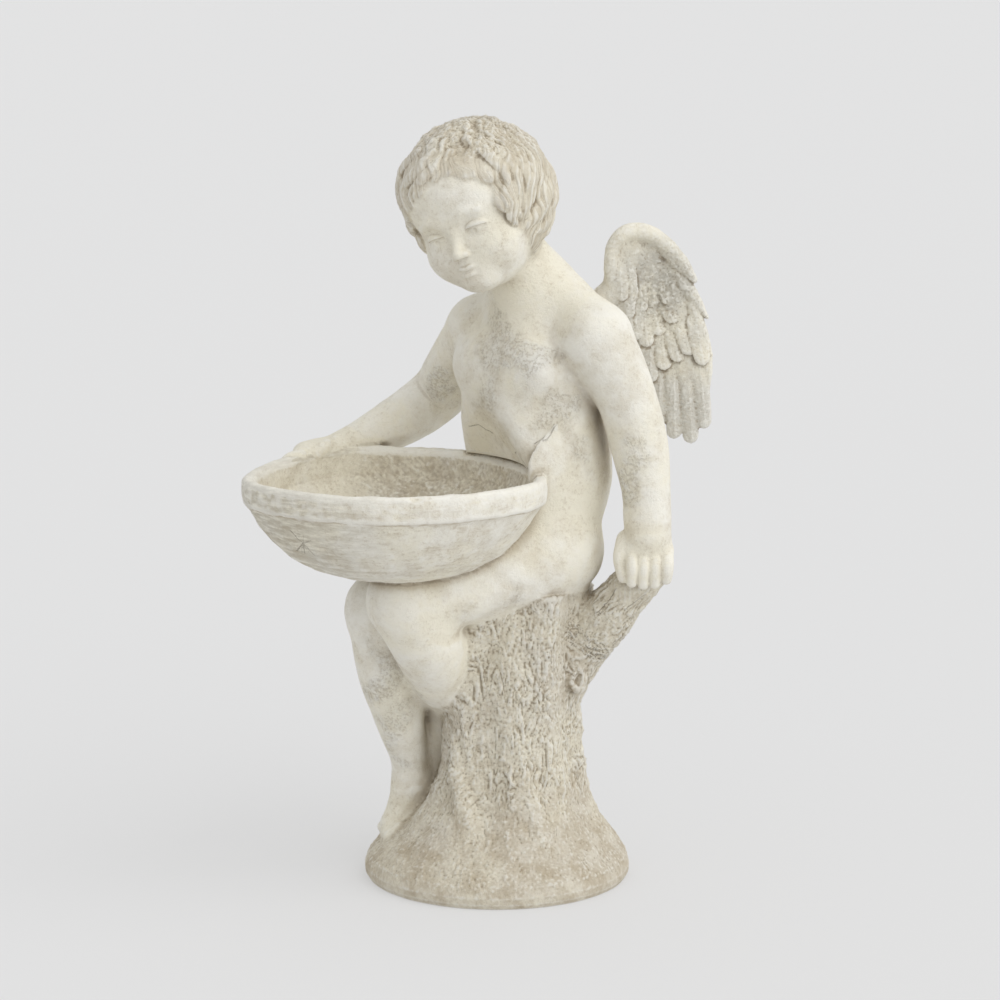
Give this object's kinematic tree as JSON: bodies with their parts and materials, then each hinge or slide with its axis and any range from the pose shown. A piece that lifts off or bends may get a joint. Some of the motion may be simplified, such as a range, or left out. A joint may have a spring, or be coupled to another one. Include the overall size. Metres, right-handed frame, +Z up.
{
  "type": "garden statue",
  "caption": "Winged child seated on a tree stump, one hand on a branch stub, the other on the rim of the wide hollow basin on its lap; cast in one piece.",
  "frame": {"origin": "middle of the flat underside of the round mound, at ground level", "axes": "+Z up; -Y towards the display front, with the figure looking down over the basin to -X; +X to the side of the branch stub and the left wing"},
  "size_m": [0.467, 0.4175, 0.7735],
  "materials": {
    "cast_stone": "matte aged cast stone, cream with beige-brown patina in the recesses"
  },
  "bodies": {
    "root": {"cherub_statue": "cast_stone"}
  },
  "joints": []
}
